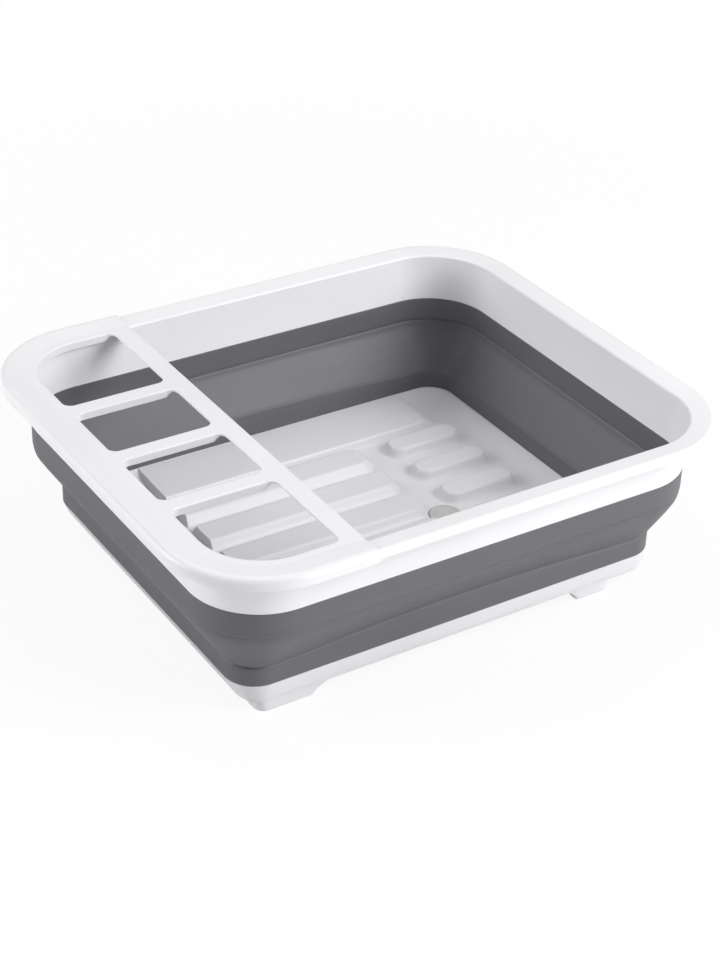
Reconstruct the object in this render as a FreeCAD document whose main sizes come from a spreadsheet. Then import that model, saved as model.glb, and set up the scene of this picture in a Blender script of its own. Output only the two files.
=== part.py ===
import FreeCAD, Part
import math
import os
import Sketcher

V = FreeCAD.Vector

# Foldable dish rack. The origin is at the middle of the outer box, on the surface the feet stand on.
# X runs along the long side with the cutlery cover at -X, Y is the depth and Z is up.

SIZES = [
    ("rim_half_length", 183.0, "rim, middle to the lip's outer face, along X"),
    ("rim_half_depth", 156.5, "rim, middle to the lip's outer face, along Y"),
    ("rim_corner", 59.4, "radius of the lip's outer corners"),
    ("rim_top", 115.0, "height of the rim's bead when the rack stands open"),
    ("lip_drop", 6.0, "from the bead down to the lip's lower edge"),
    ("lip_wall", 2.0, "thickness of the lip"),
    ("lip_round", 3.4, "outer rounding of the bead"),
    ("bead_width", 6.0, "from the lip's outer face in to where the flange starts to fall"),
    ("flange_fall", 3.4, "how far the flange falls towards the tub"),
    ("flange_wall", 2.2, "thickness of the flange"),
    ("flange_bevel", 2.4, "bevel where the flange turns down into the tub"),
    ("skirt_inset", 15.4, "from the lip's outer face in to the skirt's foot"),
    ("skirt_lean", 3.2, "how far the skirt leans out from its foot to the flange"),
    ("skirt_wall", 2.4, "thickness of the skirt at its foot"),
    ("skirt_foot", 82.5, "height of the skirt's foot, where the soft wall begins"),
    ("tongue_wall", 1.1, "thickness of the moulded-in tongues"),
    ("tongue_depth", 5.5, "how deep a tongue reaches into the soft wall"),
    ("bond_gap", 0.05, "clearance drawn round a moulded-in tongue"),
    ("upper_crease", 66.0, "height of the upper hinge crease"),
    ("lower_crease", 34.0, "height of the lower hinge crease"),
    ("crease_depth", 0.7, "depth of the hinge creases"),
    ("crease_height", 3.0, "height of the hinge creases"),
    ("panel_wall", 2.0, "level thickness of the folding panel"),
    ("panel_bulge", 1.5, "how far the folding panel bows outwards"),
    ("base_half_length", 149.0, "base, middle to its outer face, along X"),
    ("base_half_depth", 122.5, "base, middle to its outer face, along Y"),
    ("base_corner", 25.4, "radius of the base's outer corners"),
    ("base_edge", 21.2, "height of the base's upper edge, where the soft wall begins"),
    ("base_wall", 2.3, "thickness of the base's walls and floor"),
    ("end_draft", 4.5, "how far the base's ends slope in from its edge down to the step"),
    ("base_step", 11.4, "height of the step round the foot of the base"),
    ("step_in", 1.2, "how far the base steps in below the step"),
    ("base_bottom", 9.0, "height of the base's lower edge"),
    ("floor_top", 14.5, "height of the tray's floor"),
    ("dish_reach", 21.7, "from the tray's inner face in to where the floor turns flat"),
    ("rib_pitch", 32.0, "from one rib to the next"),
    ("rib_rows", 5, "rows of ribs"),
    ("rib_height", 6.5, "ribs above the floor"),
    ("rib_foot", 27.0, "width of a long rib at the floor"),
    ("rib_flank", 4.6, "how far a rib's flank slopes in"),
    ("rib_bevel", 1.2, "bevel of the shoulders of ribs and ledges"),
    ("rib_start", -90.0, "left end of the long ribs and ledges"),
    ("rib_end", 53.0, "right end of the long ribs, at the floor"),
    ("rib_corner", 10.0, "corner radius at the right end of the long ribs, at the floor"),
    ("pad_start", 67.6, "left end of the short ribs, at the floor"),
    ("pad_end", 125.4, "right end of the short ribs, at the floor"),
    ("pad_foot", 20.5, "width of a short rib at the floor"),
    ("ledge_edge", 79.5, "from the middle to the ledge's edge, along Y"),
    ("ledge_end", 118.0, "right end of the ledges"),
    ("ledge_height", 5.4, "ledges above the floor"),
    ("ledge_flank", 0.8, "how far the ledge's flank slopes in"),
    ("ledge_round", 6.0, "corner radius at the right end of the ledges"),
    ("drain_place", 61.0, "middle of the drain along X"),
    ("drain_bore", 7.5, "radius of the drain"),
    ("drain_seat", 10.9, "radius of the recess round the drain"),
    ("seat_depth", 1.3, "depth of the recess round the drain"),
    ("collar_wall", 2.4, "width of the collar under the drain, outside the recess"),
    ("plug_gap", 0.05, "running clearance of the plug in the drain"),
    ("plug_rim_gap", 0.6, "clearance of the plug's head in its recess"),
    ("plug_head", 2.0, "thickness of the plug's head"),
    ("plug_reach", 7.0, "length of the plug's stem"),
    ("plug_wall", 1.8, "thickness of the plug's stem and of the head's raised edge"),
    ("plug_dish", 0.7, "depth of the dish in the plug's head"),
    ("foot_front", 119.6, "from the middle to the outer face of the feet, along Y"),
    ("foot_depth", 22.0, "feet along Y"),
    ("foot_left", -136.0, "left end of the left feet, on the ground"),
    ("foot_left_length", 37.0, "left feet along X, on the ground"),
    ("foot_right", 89.0, "left end of the right feet, on the ground"),
    ("foot_right_length", 27.0, "right feet along X, on the ground"),
    ("foot_left_spread", 15.0, "how far a left foot's inner flank spreads up to the base"),
    ("foot_right_spread", 10.0, "how far a right foot's inner flank spreads up to the base"),
    ("foot_bevel", 1.6, "bevel round the sole of the feet"),
    ("foot_corner", 7.0, "radius of the feet's outer corners"),
    ("foot_wall", 3.0, "wall of the cored feet"),
    ("cover_width", 100.3, "cutlery cover along X, from the rim's outer face"),
    ("cover_wall", 1.6, "thickness of the cover"),
    ("cover_gap", 0.3, "clearance between the cover and the rim"),
    ("cover_end_bar", 21.3, "from the rim's outer face to the windows, along X"),
    ("cover_edge_bar", 12.6, "from the windows to the cover's straight edge"),
    ("cover_side_bar", 19.5, "from the rim's outer face to the outer windows, along Y"),
    ("cover_bar", 11.0, "bars between the windows"),
    ("window_depth", 49.0, "inner windows along Y"),
    ("window_round", 5.5, "corner radius of the windows"),
    ("window_tub_corner", 38.0, "corner radius of the outer windows at the tub's corners"),
    ("window_flange", 5.0, "how far the flange round a window reaches down"),
    ("edge_flange", 3.5, "how far the flange along the straight edge reaches down"),
    ("edge_flange_clear", 5.0, "from that flange's ends to the rim"),
]

doc = FreeCAD.newDocument("foldable_dish_rack")
sheet = doc.addObject("Spreadsheet::Sheet", "Sizes")
for row, (alias, amount, note) in enumerate(SIZES, start=1):
    sheet.set("A%d" % row, alias)
    sheet.set("B%d" % row, str(amount))
    sheet.set("C%d" % row, note)
    sheet.setAlias("B%d" % row, alias)
doc.recompute()


class Dim:
    # A length in mm together with the sheet expression that gives it.

    def __init__(self, amount, text):
        self.amount = float(amount)
        self.text = text

    def __add__(self, other):
        other = as_dim(other)
        return Dim(self.amount + other.amount, "(%s + %s)" % (self.text, other.text))

    def __sub__(self, other):
        other = as_dim(other)
        return Dim(self.amount - other.amount, "(%s - %s)" % (self.text, other.text))

    def __mul__(self, factor):
        return Dim(self.amount * factor, "(%s * %s)" % (self.text, factor))

    def __neg__(self):
        return self * -1


def as_dim(amount):
    if isinstance(amount, Dim):
        return amount
    return Dim(amount, "%s" % amount)


def size(alias):
    return Dim(sheet.get(alias), "Sizes.%s" % alias)


def between(low, high, share):
    return low * (1 - share) + high * share


def new_body(name):
    body = doc.addObject("PartDesign::Body", name)
    body.Label = name
    return body


def origin_part(body, role):
    for feature in body.Origin.OriginFeatures:
        if feature.Role == role:
            return feature
    raise RuntimeError("no origin feature " + role)


def new_sketch(body, name, role="XY_Plane", lift=0, shift=(0, 0)):
    sketch = body.newObject("Sketcher::SketchObject", name)
    sketch.AttachmentSupport = [(origin_part(body, role), "")]
    sketch.MapMode = "FlatFace"
    for axis, amount in zip("xyz", shift + (lift,)):
        if isinstance(amount, Dim):
            sketch.setExpression("AttachmentOffset.Base.%s" % axis, amount.text)
    return sketch


def pin(sketch, geo, spot, axis, where):
    # Ties a point to the sketch's origin along one axis, always with a positive length.
    where = as_dim(where)
    if abs(where.amount) < 1e-9:
        line = -2 if axis == "x" else -1
        sketch.addConstraint(Sketcher.Constraint("PointOnObject", geo, spot, line))
        return
    kind = "DistanceX" if axis == "x" else "DistanceY"
    if where.amount < 0:
        where = -where
        rule = Sketcher.Constraint(kind, geo, spot, -1, 1, where.amount)
    else:
        rule = Sketcher.Constraint(kind, -1, 1, geo, spot, where.amount)
    index = sketch.addConstraint(rule)
    sketch.setExpression("Constraints[%d]" % index, where.text)


def draw_profile(sketch, corners, closed=True):
    # Each corner is (across, up) or (across, up, radius). A rounded corner keeps its own point.
    count = len(corners)
    spots = [(as_dim(c[0]), as_dim(c[1])) for c in corners]
    radii = [as_dim(c[2]) if len(c) > 2 and c[2] is not None else None for c in corners]
    points = [V(x.amount, y.amount, 0) for x, y in spots]
    arrive = list(points)
    leave = list(points)
    for i in range(count):
        if radii[i] is None:
            continue
        back = (points[i - 1] - points[i]).normalize()
        ahead = (points[(i + 1) % count] - points[i]).normalize()
        reach = radii[i].amount / math.tan(back.getAngle(ahead) / 2)
        arrive[i] = points[i] + back * reach
        leave[i] = points[i] + ahead * reach
    runs = count if closed else count - 1
    lines = []
    for i in range(runs):
        lines.append(sketch.addGeometry(Part.LineSegment(leave[i], arrive[(i + 1) % count]), False))
    for i in range(count):
        before = lines[i - 1] if closed or i > 0 else None
        after = lines[i] if i < runs else None
        if radii[i] is None:
            geo, spot = (after, 1) if after is not None else (before, 2)
            if before is not None and after is not None:
                sketch.addConstraint(Sketcher.Constraint("Coincident", before, 2, after, 1))
            pin(sketch, geo, spot, "x", spots[i][0])
            pin(sketch, geo, spot, "y", spots[i][1])
            continue
        back = (arrive[i] - points[i]).normalize()
        ahead = (leave[i] - points[i]).normalize()
        inward = (back + ahead).normalize()
        centre = points[i] + inward * (radii[i].amount / math.sin(back.getAngle(ahead) / 2))
        first = math.atan2(arrive[i].y - centre.y, arrive[i].x - centre.x)
        last = math.atan2(leave[i].y - centre.y, leave[i].x - centre.x)
        turns_left = back.cross(ahead).z < 0
        sweep = (first, last) if turns_left else (last, first)
        circle = Part.Circle(centre, V(0, 0, 1), radii[i].amount)
        arc = sketch.addGeometry(Part.ArcOfCircle(circle, sweep[0], sweep[1]), False)
        arc_in, arc_out = (1, 2) if turns_left else (2, 1)
        corner = sketch.addGeometry(Part.Point(points[i]), True)
        pin(sketch, corner, 1, "x", spots[i][0])
        pin(sketch, corner, 1, "y", spots[i][1])
        sketch.addConstraint(Sketcher.Constraint("Tangent", before, 2, arc, arc_in))
        sketch.addConstraint(Sketcher.Constraint("Tangent", after, 1, arc, arc_out))
        sketch.addConstraint(Sketcher.Constraint("PointOnObject", corner, 1, before))
        sketch.addConstraint(Sketcher.Constraint("PointOnObject", corner, 1, after))
        index = sketch.addConstraint(Sketcher.Constraint("Radius", arc, radii[i].amount))
        sketch.setExpression("Constraints[%d]" % index, radii[i].text)


def draw_circle(sketch, radius):
    circle = sketch.addGeometry(Part.Circle(V(0, 0, 0), V(0, 0, 1), radius.amount), False)
    sketch.addConstraint(Sketcher.Constraint("Coincident", circle, 3, -1, 1))
    index = sketch.addConstraint(Sketcher.Constraint("Radius", circle, radius.amount))
    sketch.setExpression("Constraints[%d]" % index, radius.text)


def draw_box(sketch, left, right, front, back, radii=(None, None, None, None)):
    # radii run anticlockwise from the front left corner
    spots = [(left, front), (right, front), (right, back), (left, back)]
    draw_profile(sketch, [spot + (radius,) for spot, radius in zip(spots, radii)])


def draw_ring_line(sketch, half_x, half_y, corner):
    draw_box(sketch, -half_x, half_x, -half_y, half_y, (corner,) * 4)


def ring_sketch(body, name, lift, *outlines):
    sketch = new_sketch(body, name, lift=lift)
    for half_x, half_y, corner in outlines:
        draw_ring_line(sketch, half_x, half_y, corner)
    return sketch


def pad(body, name, sketch, length, up=True):
    feature = body.newObject("PartDesign::Pad", name)
    feature.Profile = sketch
    feature.setExpression("Length", as_dim(length).text)
    feature.Reversed = not up
    body.Tip = feature
    return feature


def pocket(body, name, sketch, length, up=True):
    # A pocket cuts against its sketch's normal unless it is reversed.
    feature = body.newObject("PartDesign::Pocket", name)
    feature.Profile = sketch
    feature.setExpression("Length", as_dim(length).text)
    feature.Reversed = up
    body.Tip = feature
    return feature


def loft(body, name, sketches, cut=False):
    kind = "PartDesign::SubtractiveLoft" if cut else "PartDesign::AdditiveLoft"
    feature = body.newObject(kind, name)
    feature.Profile = sketches[0]
    feature.Sections = sketches[1:]
    feature.Ruled = True
    body.Tip = feature
    return feature


def sweep(body, name, profile, path):
    feature = body.newObject("PartDesign::AdditivePipe", name)
    feature.Profile = profile
    feature.Spine = path
    body.Tip = feature
    return feature


def mirror(body, name, features):
    copy = body.newObject("PartDesign::Mirrored", name)
    copy.Originals = features
    copy.MirrorPlane = (origin_part(body, "XZ_Plane"), [""])
    body.Tip = copy
    return copy


def pattern(body, name, feature, axis, spacing, copies):
    rows = body.newObject("PartDesign::LinearPattern", name)
    rows.Originals = [feature]
    rows.Direction = (origin_part(body, axis), [""])
    rows.setExpression("Length", (spacing * (copies - 1)).text)
    rows.Occurrences = copies
    body.Tip = rows
    return rows


# Shared outlines. Every ring of the rack is a rounded rectangle: half length, half depth, corner.
# The rings' corners share their centres, so the soft wall folds without twisting at the corners.

rim_x = size("rim_half_length")
rim_y = size("rim_half_depth")
foot_x = rim_x - size("skirt_inset")
foot_y = rim_y - size("skirt_inset")
foot_r = size("rim_corner") - size("skirt_inset")
base_x = size("base_half_length")
base_y = size("base_half_depth")
base_r = size("base_corner")
base_wall = size("base_wall")
skirt_wall = size("skirt_wall")
floor = size("floor_top")
bond = size("bond_gap")


def inset(outline, step):
    return tuple(side - step for side in outline)


def eased(corner_x, corner_y, radius, side=1):
    # a rounded outer edge as three short flats, from the top round to the outside
    points = []
    for turn in (90, 60, 30, 0):
        across = radius * (1 - math.cos(math.radians(turn)))
        down = radius * (1 - math.sin(math.radians(turn)))
        points.append((corner_x - across if side > 0 else corner_x + across, corner_y - down))
    return points


def blend(low, high, share):
    return tuple(between(a, b, share) for a, b in zip(low, high))


skirt_outline = (foot_x, foot_y, foot_r)
base_outline = (base_x, base_y, base_r)
step_outline = (base_x - size("end_draft"), base_y, base_r - size("end_draft"))


def tongue_lines(outline, wall, spare=0):
    # outer and inner line of a tongue in the middle of a wall, or of its slot when spare is given
    outer = inset(outline, (wall - size("tongue_wall")) * 0.5 - spare)
    inner = inset(outer, size("tongue_wall") + as_dim(spare) * 2)
    return outer, inner


# Rim: bead, falling flange and leaning skirt in one section, swept round the rack.

def build_rim():
    body = new_body("rim_frame")
    top = size("rim_top")
    tub_edge = foot_x + size("skirt_lean") - skirt_wall
    flange_top = top - size("flange_fall")
    lip_foot = top - size("lip_drop")
    skirt_foot = size("skirt_foot")
    outer, inner = tongue_lines(skirt_outline, skirt_wall)
    tip = skirt_foot - size("tongue_depth")
    path = new_sketch(body, "rim_path")
    draw_profile(path, [
        (foot_x, 0),
        (foot_x, foot_y, foot_r),
        (-foot_x, foot_y, foot_r),
        (-foot_x, -foot_y, foot_r),
        (foot_x, -foot_y, foot_r),
    ])
    section = new_sketch(body, "rim_section", role="XZ_Plane")
    draw_profile(section, [
        (inner[0], tip),
        (outer[0], tip),
        (outer[0], skirt_foot),
        (foot_x, skirt_foot),
        (foot_x + size("skirt_lean"), flange_top - size("flange_wall")),
        (rim_x - size("bead_width"), top - size("flange_wall")),
        (rim_x - size("lip_wall"), top - size("flange_wall")),
        (rim_x - size("lip_wall"), lip_foot),
        (rim_x, lip_foot),
        *reversed(eased(rim_x, top, size("lip_round"))),
        (rim_x - size("bead_width"), top),
        (tub_edge + size("flange_bevel"), flange_top),
        (tub_edge, flange_top - size("flange_bevel")),
        (foot_x - skirt_wall, skirt_foot),
        (inner[0], skirt_foot),
    ])
    sweep(body, "rim_sweep", section, path)
    return body


# Soft wall: lower band, folding panel and upper band, with a hinge crease at each end of the panel.

def build_wall():
    body = new_body("fold_wall")
    low = size("lower_crease")
    high = size("upper_crease")
    half_crease = size("crease_height") * 0.5
    notch = size("crease_depth")
    bottom = size("base_edge") + bond
    top = size("skirt_foot") - bond
    # three quarters of the way up the panel bows out most, which is where it turns over as the rack folds
    turn = 0.75
    outside = [
        (bottom, base_outline),
        (low - half_crease, base_outline),
        (low, inset(base_outline, notch)),
    ]
    inside = [
        (bottom - 1, inset(base_outline, base_wall)),
        (low + half_crease, inset(base_outline, base_wall)),
    ]
    fold = between(low, high, turn)
    bowed = inset(blend(base_outline, skirt_outline, turn), -size("panel_bulge"))
    outside += [(fold, bowed), (high, skirt_outline), (top, skirt_outline)]
    inside += [
        (fold, inset(bowed, size("panel_wall"))),
        (high, inset(skirt_outline, skirt_wall - notch)),
        (high + half_crease, inset(skirt_outline, skirt_wall)),
        (top + 1, inset(skirt_outline, skirt_wall)),
    ]
    skins = []
    for label, levels in (("outside", outside), ("inside", inside)):
        rings = []
        for number, (level, outline) in enumerate(levels):
            rings.append(ring_sketch(body, "wall_%s_%d" % (label, number), level, outline))
        skins.append(rings)
    loft(body, "wall_outside", skins[0])
    loft(body, "wall_inside", skins[1], cut=True)
    depth = size("tongue_depth") + bond
    upper = ring_sketch(body, "upper_slot_line", top, *tongue_lines(skirt_outline, skirt_wall, bond))
    pocket(body, "upper_slot", upper, depth, up=False)
    lower = ring_sketch(body, "lower_slot_line", bottom, *tongue_lines(base_outline, base_wall, bond))
    pocket(body, "lower_slot", lower, depth, up=True)
    return body


# Base: dished tray with raised ribs and ledges, hollow from below, on four cored feet.

def dish_levels(drop=0):
    # the tray's hollow side, from the edge down to the flat floor
    edge = inset(base_outline, base_wall)
    flat = inset(edge, size("dish_reach"))
    rim = size("base_edge")
    levels = []
    for share, sunk in ((0, 0), (0.32, 0.66), (1, 1)):
        levels.append((between(rim, floor, sunk) - drop, blend(edge, flat, share)))
    return levels


def build_skirt(body):
    # upright along the sides, sloping in at the ends, with a small step round its foot
    step = size("base_step")
    edge = size("base_edge")
    outer = [(step, step_outline), (edge, base_outline)]
    inner = [(step - 1, step_outline), (step, step_outline), (edge, base_outline), (edge + 1, base_outline)]
    for name, levels, wall in (("skirt", outer, as_dim(0)), ("skirt_core", inner, base_wall)):
        rings = []
        for number, (level, outline) in enumerate(levels):
            rings.append(ring_sketch(body, "%s_line_%d" % (name, number), level, inset(outline, wall)))
        loft(body, name, rings, cut=name == "skirt_core")
    lower = ring_sketch(body, "skirt_foot_line", size("base_bottom"), inset(step_outline, size("step_in")),
                        inset(step_outline, base_wall + size("step_in")))
    pad(body, "skirt_foot", lower, step - size("base_bottom") + 1)
    tongue = ring_sketch(body, "tongue_line", edge, *tongue_lines(base_outline, base_wall))
    pad(body, "tongue", tongue, size("tongue_depth"))


def build_dish(body):
    underside = dish_levels(drop=base_wall)
    shell = [(size("base_edge"), underside[0][1])] + underside
    rings = []
    for number, (level, outline) in enumerate(reversed(shell)):
        rings.append(ring_sketch(body, "dish_under_%d" % number, level, inset(outline, -1)))
    loft(body, "dish_under", rings)


def hollow_dish(body):
    levels = dish_levels()
    hollow = [(levels[0][0] + size("tongue_depth") + 1, levels[0][1])] + levels
    rings = []
    for number, (level, outline) in enumerate(reversed(hollow)):
        rings.append(ring_sketch(body, "dish_hollow_%d" % number, level, outline))
    loft(body, "dish_hollow", rings, cut=True)


def build_ledges(body):
    # one block along the rear wall, hollow from below, and its mirror image along the front wall
    start = size("rib_start")
    end = size("ledge_end")
    edge = size("ledge_edge")
    flank = size("ledge_flank")
    bevel = size("rib_bevel")
    crest = floor + size("ledge_height")
    hidden = base_y - base_wall * 0.5
    corner = size("ledge_round")
    rings = []
    steps = ((floor - base_wall * 0.5, as_dim(0)), (crest - bevel, flank), (crest, flank + bevel))
    for number, (level, step) in enumerate(steps):
        sketch = new_sketch(body, "ledge_line_%d" % number, lift=level)
        radii = (None, corner - step, None, None)
        draw_box(sketch, start, end - step, edge - flank + step, hidden, radii)
        rings.append(sketch)
    block = loft(body, "ledge", rings)
    mirror(body, "ledges", [block])
    core = new_sketch(body, "ledge_core_line", lift=size("base_bottom"))
    draw_box(core, start + base_wall, end - bevel - base_wall, edge + bevel + base_wall, base_y - base_wall)
    hollow = pocket(body, "ledge_core", core, crest - base_wall - size("base_bottom"), up=True)
    mirror(body, "ledge_cores", [hollow])


def rib_levels(left, right, left_flank, half_foot, corners):
    # foot, shoulder and crest of a rib at the front row
    row = size("rib_pitch") * (-(size("rib_rows").amount - 1) / 2)
    flank = size("rib_flank")
    bevel = size("rib_bevel")
    crest = floor + size("rib_height")
    levels = []
    for level, in_left, in_side in (
        (floor, 0, as_dim(0)),
        (crest - bevel, left_flank, flank),
        (crest, left_flank + bevel, flank + bevel),
    ):
        half = half_foot - in_side
        radii = [None if corner is None else corner - in_side for corner in corners]
        levels.append((level, (left + in_left, right - in_side, row - half, row + half, radii)))
    return levels


def build_ribs(body):
    # The hollow under a rib has upright walls and stays clear of the rib's rounded corners.
    rows = int(size("rib_rows").amount)
    corner = size("rib_corner")
    flank = size("rib_flank")
    clear = flank + size("rib_bevel") * 2
    pad_half = size("pad_foot") * 0.5
    core_foot = size("base_bottom")
    core_depth = floor + size("rib_height") - base_wall - core_foot
    kinds = [
        ("rib", size("rib_start"), size("rib_end"), as_dim(0), base_wall, size("rib_foot") * 0.5,
         (None, corner, corner, None)),
        ("pad", size("pad_start"), size("pad_end"), flank, clear, pad_half, (pad_half - 0.5,) * 4),
    ]
    for name, left, right, left_flank, left_clear, half, corners in kinds:
        rings = []
        for number, (level, box) in enumerate(rib_levels(left, right, left_flank, half, corners)):
            sketch = new_sketch(body, "%s_line_%d" % (name, number), lift=level)
            draw_box(sketch, *box)
            rings.append(sketch)
        block = loft(body, name, rings)
        pattern(body, name + "_row", block, "Y_Axis", size("rib_pitch"), rows)
        row = size("rib_pitch") * (-(size("rib_rows").amount - 1) / 2)
        core = new_sketch(body, name + "_core_line", lift=core_foot)
        draw_box(core, left + left_clear, right - clear, row - half + clear, row + half - clear)
        hollow = pocket(body, name + "_core", core, core_depth, up=True)
        pattern(body, name + "_core_row", hollow, "Y_Axis", size("rib_pitch"), rows)


def foot_levels(side, top):
    # the front foot's outline from the sole up; its inner flank spreads towards the middle of the rack
    left = size("foot_%s" % side)
    right = left + size("foot_%s_length" % side)
    spread = size("foot_%s_spread" % side)
    bevel = size("foot_bevel")
    front = -size("foot_front")
    back = front + size("foot_depth")
    hidden = -(base_y - base_wall * 0.5)
    corner = size("foot_corner")
    levels = []
    for level, inside, grown, face in (
        (as_dim(0), bevel, 0, front),
        (bevel, as_dim(0), 0, front),
        (size("base_bottom") * 0.5, as_dim(0), 0.25, front),
        (size("base_bottom"), as_dim(0), 1, front),
        (size("base_step") + 1, as_dim(0), 1, hidden),
        (top, as_dim(0), 1, hidden),
    ):
        box = [left + inside, right - inside, face + inside, back - inside]
        radii = [None, None, None, None]
        if side == "left":
            box[1] = box[1] + spread * grown
            radii[0] = corner - inside
        else:
            box[0] = box[0] - spread * grown
            radii[1] = corner - inside
        levels.append((level, tuple(box) + (radii,)))
    return levels


def foot_core(levels, top):
    wall = size("foot_wall")
    sole, knee, root = (levels[number][1] for number in (1, 2, 3))
    bottom = size("base_bottom")
    core = []
    for level, box in ((as_dim(0) - 1, sole), (bottom * 0.5, knee), (bottom, root), (top, root)):
        left, right, front, back = box[:4]
        core.append((level, (left + wall, right - wall, front + wall, back - wall)))
    return core


def build_feet(body, side, top, core_top=None):
    levels = foot_levels(side, top)
    name = "foot_%s" % side
    if core_top is not None:
        levels = foot_core(levels, core_top)
        name += "_core"
    rings = []
    for number, (level, box) in enumerate(levels):
        sketch = new_sketch(body, "%s_%d" % (name, number), lift=level)
        draw_box(sketch, *box)
        rings.append(sketch)
    one = loft(body, name, rings, cut=core_top is not None)
    mirror(body, name + "_pair", [one])


def build_drain(body):
    spot = (size("drain_place"), size("rib_pitch") * -0.5)
    seat = size("drain_seat")
    collar_foot = floor - size("seat_depth") - base_wall
    collar = new_sketch(body, "drain_collar_line", lift=collar_foot, shift=spot)
    draw_circle(collar, seat + size("collar_wall"))
    pad(body, "drain_collar", collar, size("seat_depth") + base_wall * 0.5)
    recess = new_sketch(body, "drain_recess_line", lift=floor, shift=spot)
    draw_circle(recess, seat)
    pocket(body, "drain_recess", recess, size("seat_depth"), up=False)
    bore = new_sketch(body, "drain_bore_line", lift=floor, shift=spot)
    draw_circle(bore, size("drain_bore"))
    pocket(body, "drain_hole", bore, size("seat_depth") + base_wall + 1, up=False)


def build_tray():
    body = new_body("base_tray")
    crest = floor + size("ledge_height")
    under_ledge = crest - base_wall
    foot_top = crest - base_wall * 0.5
    build_skirt(body)
    build_dish(body)
    build_feet(body, "left", foot_top)
    hollow_dish(body)
    build_ledges(body)
    build_feet(body, "right", foot_top)
    build_feet(body, "left", foot_top, core_top=floor - base_wall)
    build_feet(body, "right", foot_top, core_top=under_ledge)
    build_ribs(body)
    build_drain(body)
    return body


# Cutlery cover: clips over the rim's bead on three sides, with four windows into the tub.

def window_boxes():
    # the rear half's windows, the inner one and the one at the tub's corner
    left = -(rim_x - size("cover_end_bar"))
    right = -(rim_x - size("cover_width")) - size("cover_edge_bar")
    near_side = size("cover_bar") * 0.5
    far_side = near_side + size("window_depth")
    small = size("window_round")
    outer_near = far_side + size("cover_bar")
    outer_far = rim_y - size("cover_side_bar")
    return [
        ("inner", left, right, near_side, far_side, (small,) * 4),
        ("outer", left, right, outer_near, outer_far, (small, small, small, size("window_tub_corner"))),
    ]


def build_cover():
    body = new_body("cutlery_cover")
    wall = size("cover_wall")
    gap = size("cover_gap")
    top = size("rim_top") + gap
    plate = size("rim_top") - size("flange_fall") + gap
    edge_x = -(rim_x - size("cover_width"))
    slope_foot = foot_y + size("skirt_lean") - skirt_wall + size("flange_bevel")
    inner = slope_foot - 6
    under = (size("lip_round") + gap) * 0.57
    path = new_sketch(body, "cover_path")
    draw_profile(path, [
        (edge_x, -foot_y),
        (-foot_x, -foot_y, foot_r),
        (-foot_x, foot_y, foot_r),
        (edge_x, foot_y),
    ], closed=False)
    section = new_sketch(body, "cover_section", role="YZ_Plane", lift=edge_x)
    draw_profile(section, [
        (-(rim_y + gap), size("rim_top") - size("lip_drop")),
        (-(rim_y + gap + wall), size("rim_top") - size("lip_drop")),
        *reversed(eased(-(rim_y + gap + wall), top + wall, size("lip_round") + gap + wall, side=-1)),
        (-(rim_y - size("bead_width")), top + wall),
        (-slope_foot, plate + wall),
        (-inner, plate + wall),
        (-inner, plate),
        (-slope_foot, plate),
        (-(rim_y - size("bead_width")), top),
        (-(rim_y + gap - under), top),
        (-(rim_y + gap), top - under),
    ])
    sweep(body, "cover_clip", section, path)
    sheet_line = new_sketch(body, "plate_line", lift=plate)
    reach = inner - foot_y + 1
    draw_box(sheet_line, -(foot_x + reach), edge_x, -(foot_y + reach), foot_y + reach,
             (foot_r + reach, None, None, foot_r + reach))
    pad(body, "plate", sheet_line, wall)
    flange = size("window_flange") - wall
    tubes = []
    for name, left, right, front, back, radii in window_boxes():
        frame = new_sketch(body, "window_%s_frame_line" % name, lift=plate - flange)
        draw_box(frame, left - wall, right + wall, front - wall, back + wall,
                 tuple(radius + wall for radius in radii))
        tubes.append(pad(body, "window_%s_frame" % name, frame, flange + wall * 0.5))
    mirror(body, "window_frames", tubes)
    holes = []
    for name, left, right, front, back, radii in window_boxes():
        hole = new_sketch(body, "window_%s_line" % name, lift=plate - flange - 1)
        draw_box(hole, left, right, front, back, radii)
        holes.append(pocket(body, "window_%s" % name, hole, flange + wall + 2, up=True))
    mirror(body, "windows", holes)
    half = foot_y - skirt_wall - size("edge_flange_clear")
    lip = new_sketch(body, "edge_flange_line", lift=plate - size("edge_flange"))
    draw_box(lip, edge_x - wall, edge_x, -half, half)
    pad(body, "edge_flange", lip, size("edge_flange") + wall * 0.5)
    return body


# Drain plug: head in the recess, hollow stem through the drain.

def build_plug():
    body = new_body("drain_plug")
    section = new_sketch(body, "plug_section", role="XZ_Plane", lift=size("rib_pitch") * 0.5,
                         shift=(size("drain_place"), 0))
    seat = floor - size("seat_depth")
    head = size("drain_seat") - size("plug_rim_gap")
    stem = size("drain_bore") - size("plug_gap")
    wall = size("plug_wall")
    crown = seat + size("plug_head")
    draw_profile(section, [
        (0, crown - size("plug_dish")),
        (0, seat),
        (stem - wall, seat),
        (stem - wall, seat - size("plug_reach")),
        (stem, seat - size("plug_reach")),
        (stem, seat),
        (head, seat),
        (head, crown),
        (head - wall, crown),
        (head - wall - size("plug_dish"), crown - size("plug_dish")),
    ])
    turned = body.newObject("PartDesign::Revolution", "plug_turned")
    turned.Profile = section
    turned.ReferenceAxis = (section, ["V_Axis"])
    turned.Angle = 360
    body.Tip = turned
    return body


bodies = [build_rim(), build_cover(), build_wall(), build_tray(), build_plug()]

# The cover stands out past the rim at -X only, so every body moves half of that towards +X.
for body in bodies:
    body.setExpression("Placement.Base.x", "(Sizes.cover_gap + Sizes.cover_wall) / 2")
doc.recompute()

for thing in doc.Objects:
    if "Invalid" in thing.State or "Error" in thing.State:
        raise RuntimeError("%s did not build" % thing.Name)

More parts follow.
